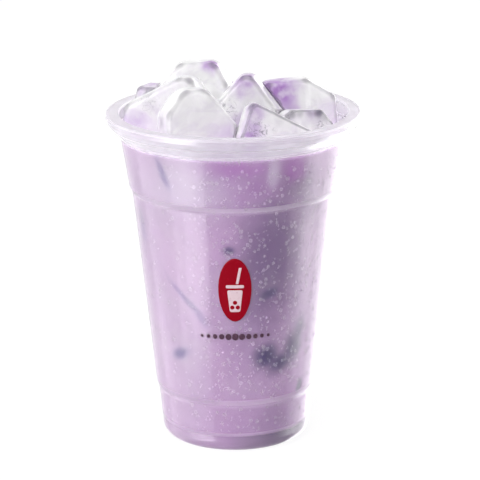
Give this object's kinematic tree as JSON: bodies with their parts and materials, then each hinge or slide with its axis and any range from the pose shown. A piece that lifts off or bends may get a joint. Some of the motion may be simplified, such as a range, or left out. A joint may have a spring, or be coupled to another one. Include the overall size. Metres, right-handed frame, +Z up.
{
  "type": "iced taro bubble tea",
  "caption": "Tapered semi-clear plastic cup with a thick lip, filled with lilac taro milk tea and heaped with half-melted ice.",
  "frame": {"origin": "middle of the cup's underside, in the plane that it stands on", "axes": "+Z up along the cup's axis, -Y towards the printed front, +X to the right seen from the front"},
  "size_m": [0.095, 0.095, 0.1405],
  "materials": {
    "cup_plastic": "semi-clear injection-moulded polypropylene, smooth, misted with fine drops",
    "taro_milk_tea": "opaque lilac milk drink",
    "ice": "wet half-melted ice with a cloudy white core",
    "print_ink": "screen-printed crimson and brown ink",
    "water_drops": "condensed water"
  },
  "bodies": {
    "root": {"cup": "cup_plastic", "drink": "taro_milk_tea", "ice_front_right": "ice", "ice_right": "ice", "ice_front_left": "ice", "ice_middle": "ice", "ice_left": "ice", "ice_back_right": "ice", "ice_back_left": "ice", "ice_far_left": "ice", "ice_back": "ice", "ice_back_edge": "ice"}
  },
  "joints": []
}
